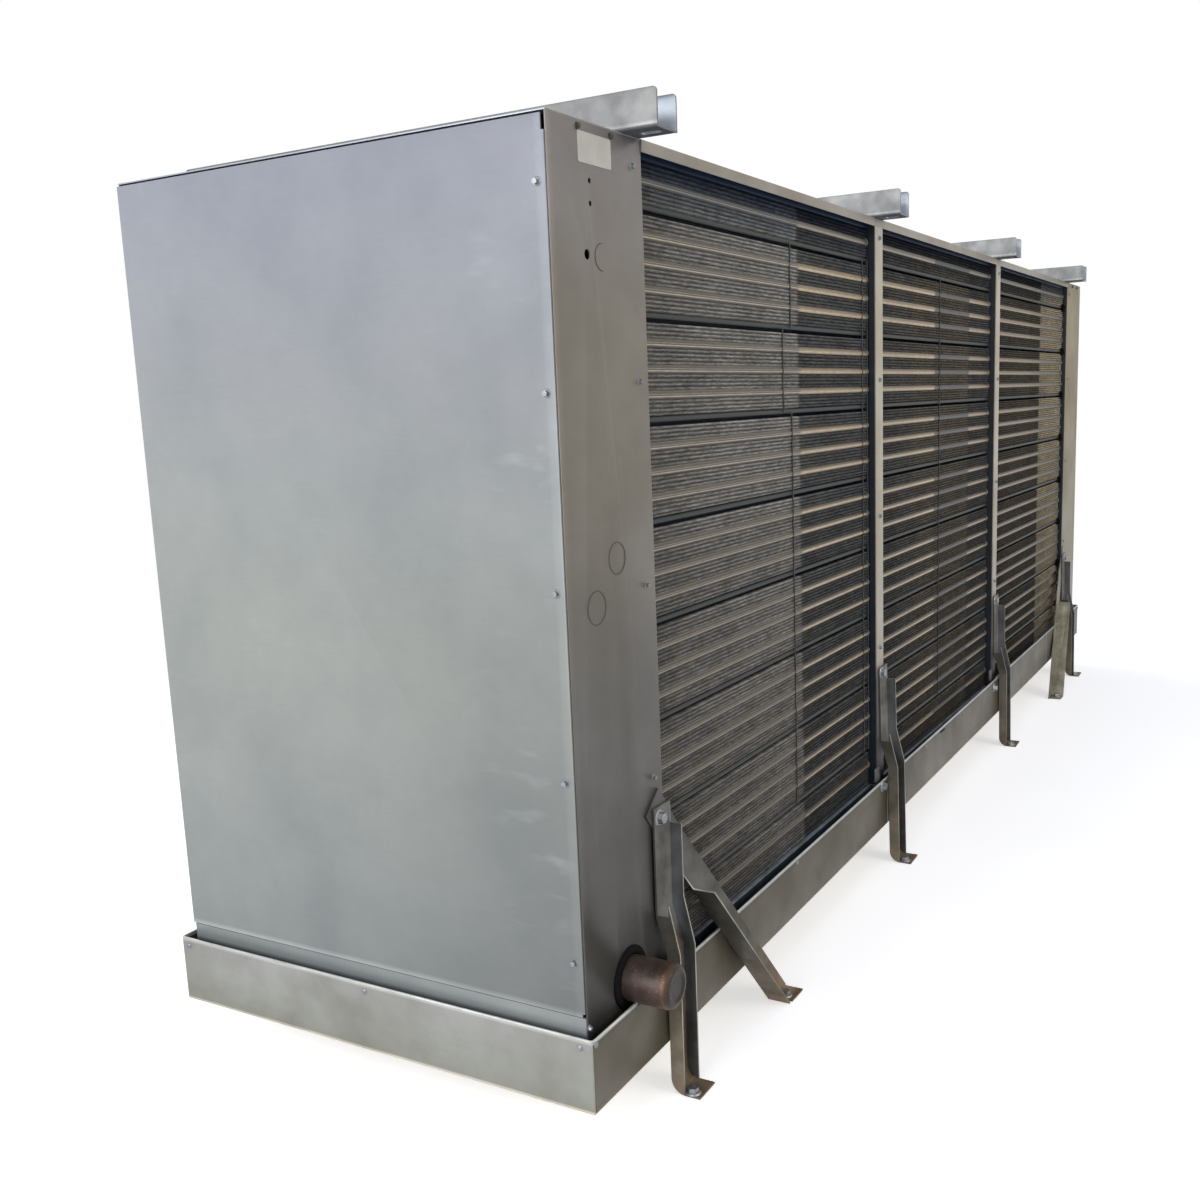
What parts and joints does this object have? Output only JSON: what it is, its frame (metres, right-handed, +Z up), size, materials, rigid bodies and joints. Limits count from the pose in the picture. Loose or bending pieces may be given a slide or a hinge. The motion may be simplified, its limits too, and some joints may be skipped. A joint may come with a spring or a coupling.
{
  "type": "refrigeration evaporator",
  "caption": "Long ceiling-hung unit cooler on shipping legs: finned coil bays, draw-through fans on the far side, closed end compartments and a sloping drain pan.",
  "frame": {"origin": "centre of the footprint, at floor level under the shipping legs", "axes": "+X along the length, away from the end with the suction stub; +Y from the coil face to the fan face, the way the air goes; +Z up"},
  "size_m": [3.528, 0.923, 1.441],
  "materials": {
    "galvanised_bright": "bright spangled galvanised sheet",
    "galvanised_cover": "galvanised sheet with a warm, dull surface",
    "galvanised_pan": "galvanised sheet, lightly weathered",
    "galvanised_frame": "dull galvanised sheet inside the cabinet",
    "galvanised_plate": "dark mottled galvanised plate",
    "galvanised_rail": "bright galvanised plate",
    "fin_aluminium": "rippled fin stock",
    "copper": "dull brown copper tube",
    "grommet_rubber": "matt black",
    "outlet_brass": "plain",
    "fan_aluminium": "cast and pressed",
    "motor_paint": "black enamel"
  },
  "bodies": {
    "root": {"roof_panel": "galvanised_bright", "end_panel_left": "galvanised_bright", "end_panel_right": "galvanised_bright", "header_cover_left": "galvanised_cover", "header_cover_right": "galvanised_cover", "fan_side_cover_left": "galvanised_bright", "fan_side_cover_right": "galvanised_bright", "tube_sheet_left": "galvanised_frame", "tube_sheet_right": "galvanised_frame", "tube_support_1": "galvanised_frame", "tube_support_2": "galvanised_frame", "mullion_1": "galvanised_cover", "mullion_2": "galvanised_cover", "coil_top_rail": "galvanised_frame", "base_frame": "galvanised_bright", "fin_pack_1": "fin_aluminium", "fin_pack_2": "fin_aluminium", "fin_pack_3": "fin_aluminium", "suction_stub": "copper", "stub_grommet": "grommet_rubber", "drain_pan": "galvanised_pan", "drain_outlet": "outlet_brass", "pan_brackets": "galvanised_plate", "fan_panel": "galvanised_bright", "fan_ring_1": "galvanised_bright", "fan_ring_2": "galvanised_bright", "fan_ring_3": "galvanised_bright", "fan_1": "fan_aluminium", "fan_2": "fan_aluminium", "fan_3": "fan_aluminium", "motor_1": "motor_paint", "motor_2": "motor_paint", "motor_3": "motor_paint", "hanger_rail_1": "galvanised_rail", "hanger_rail_2": "galvanised_rail", "hanger_rail_3": "galvanised_rail", "hanger_rail_4": "galvanised_rail", "leg_1": "galvanised_plate", "leg_2": "galvanised_plate", "leg_3": "galvanised_plate", "leg_4": "galvanised_plate", "fan_side_legs": "galvanised_plate", "braces_coil_side": "galvanised_plate", "braces_fan_side": "galvanised_plate"}
  },
  "joints": []
}
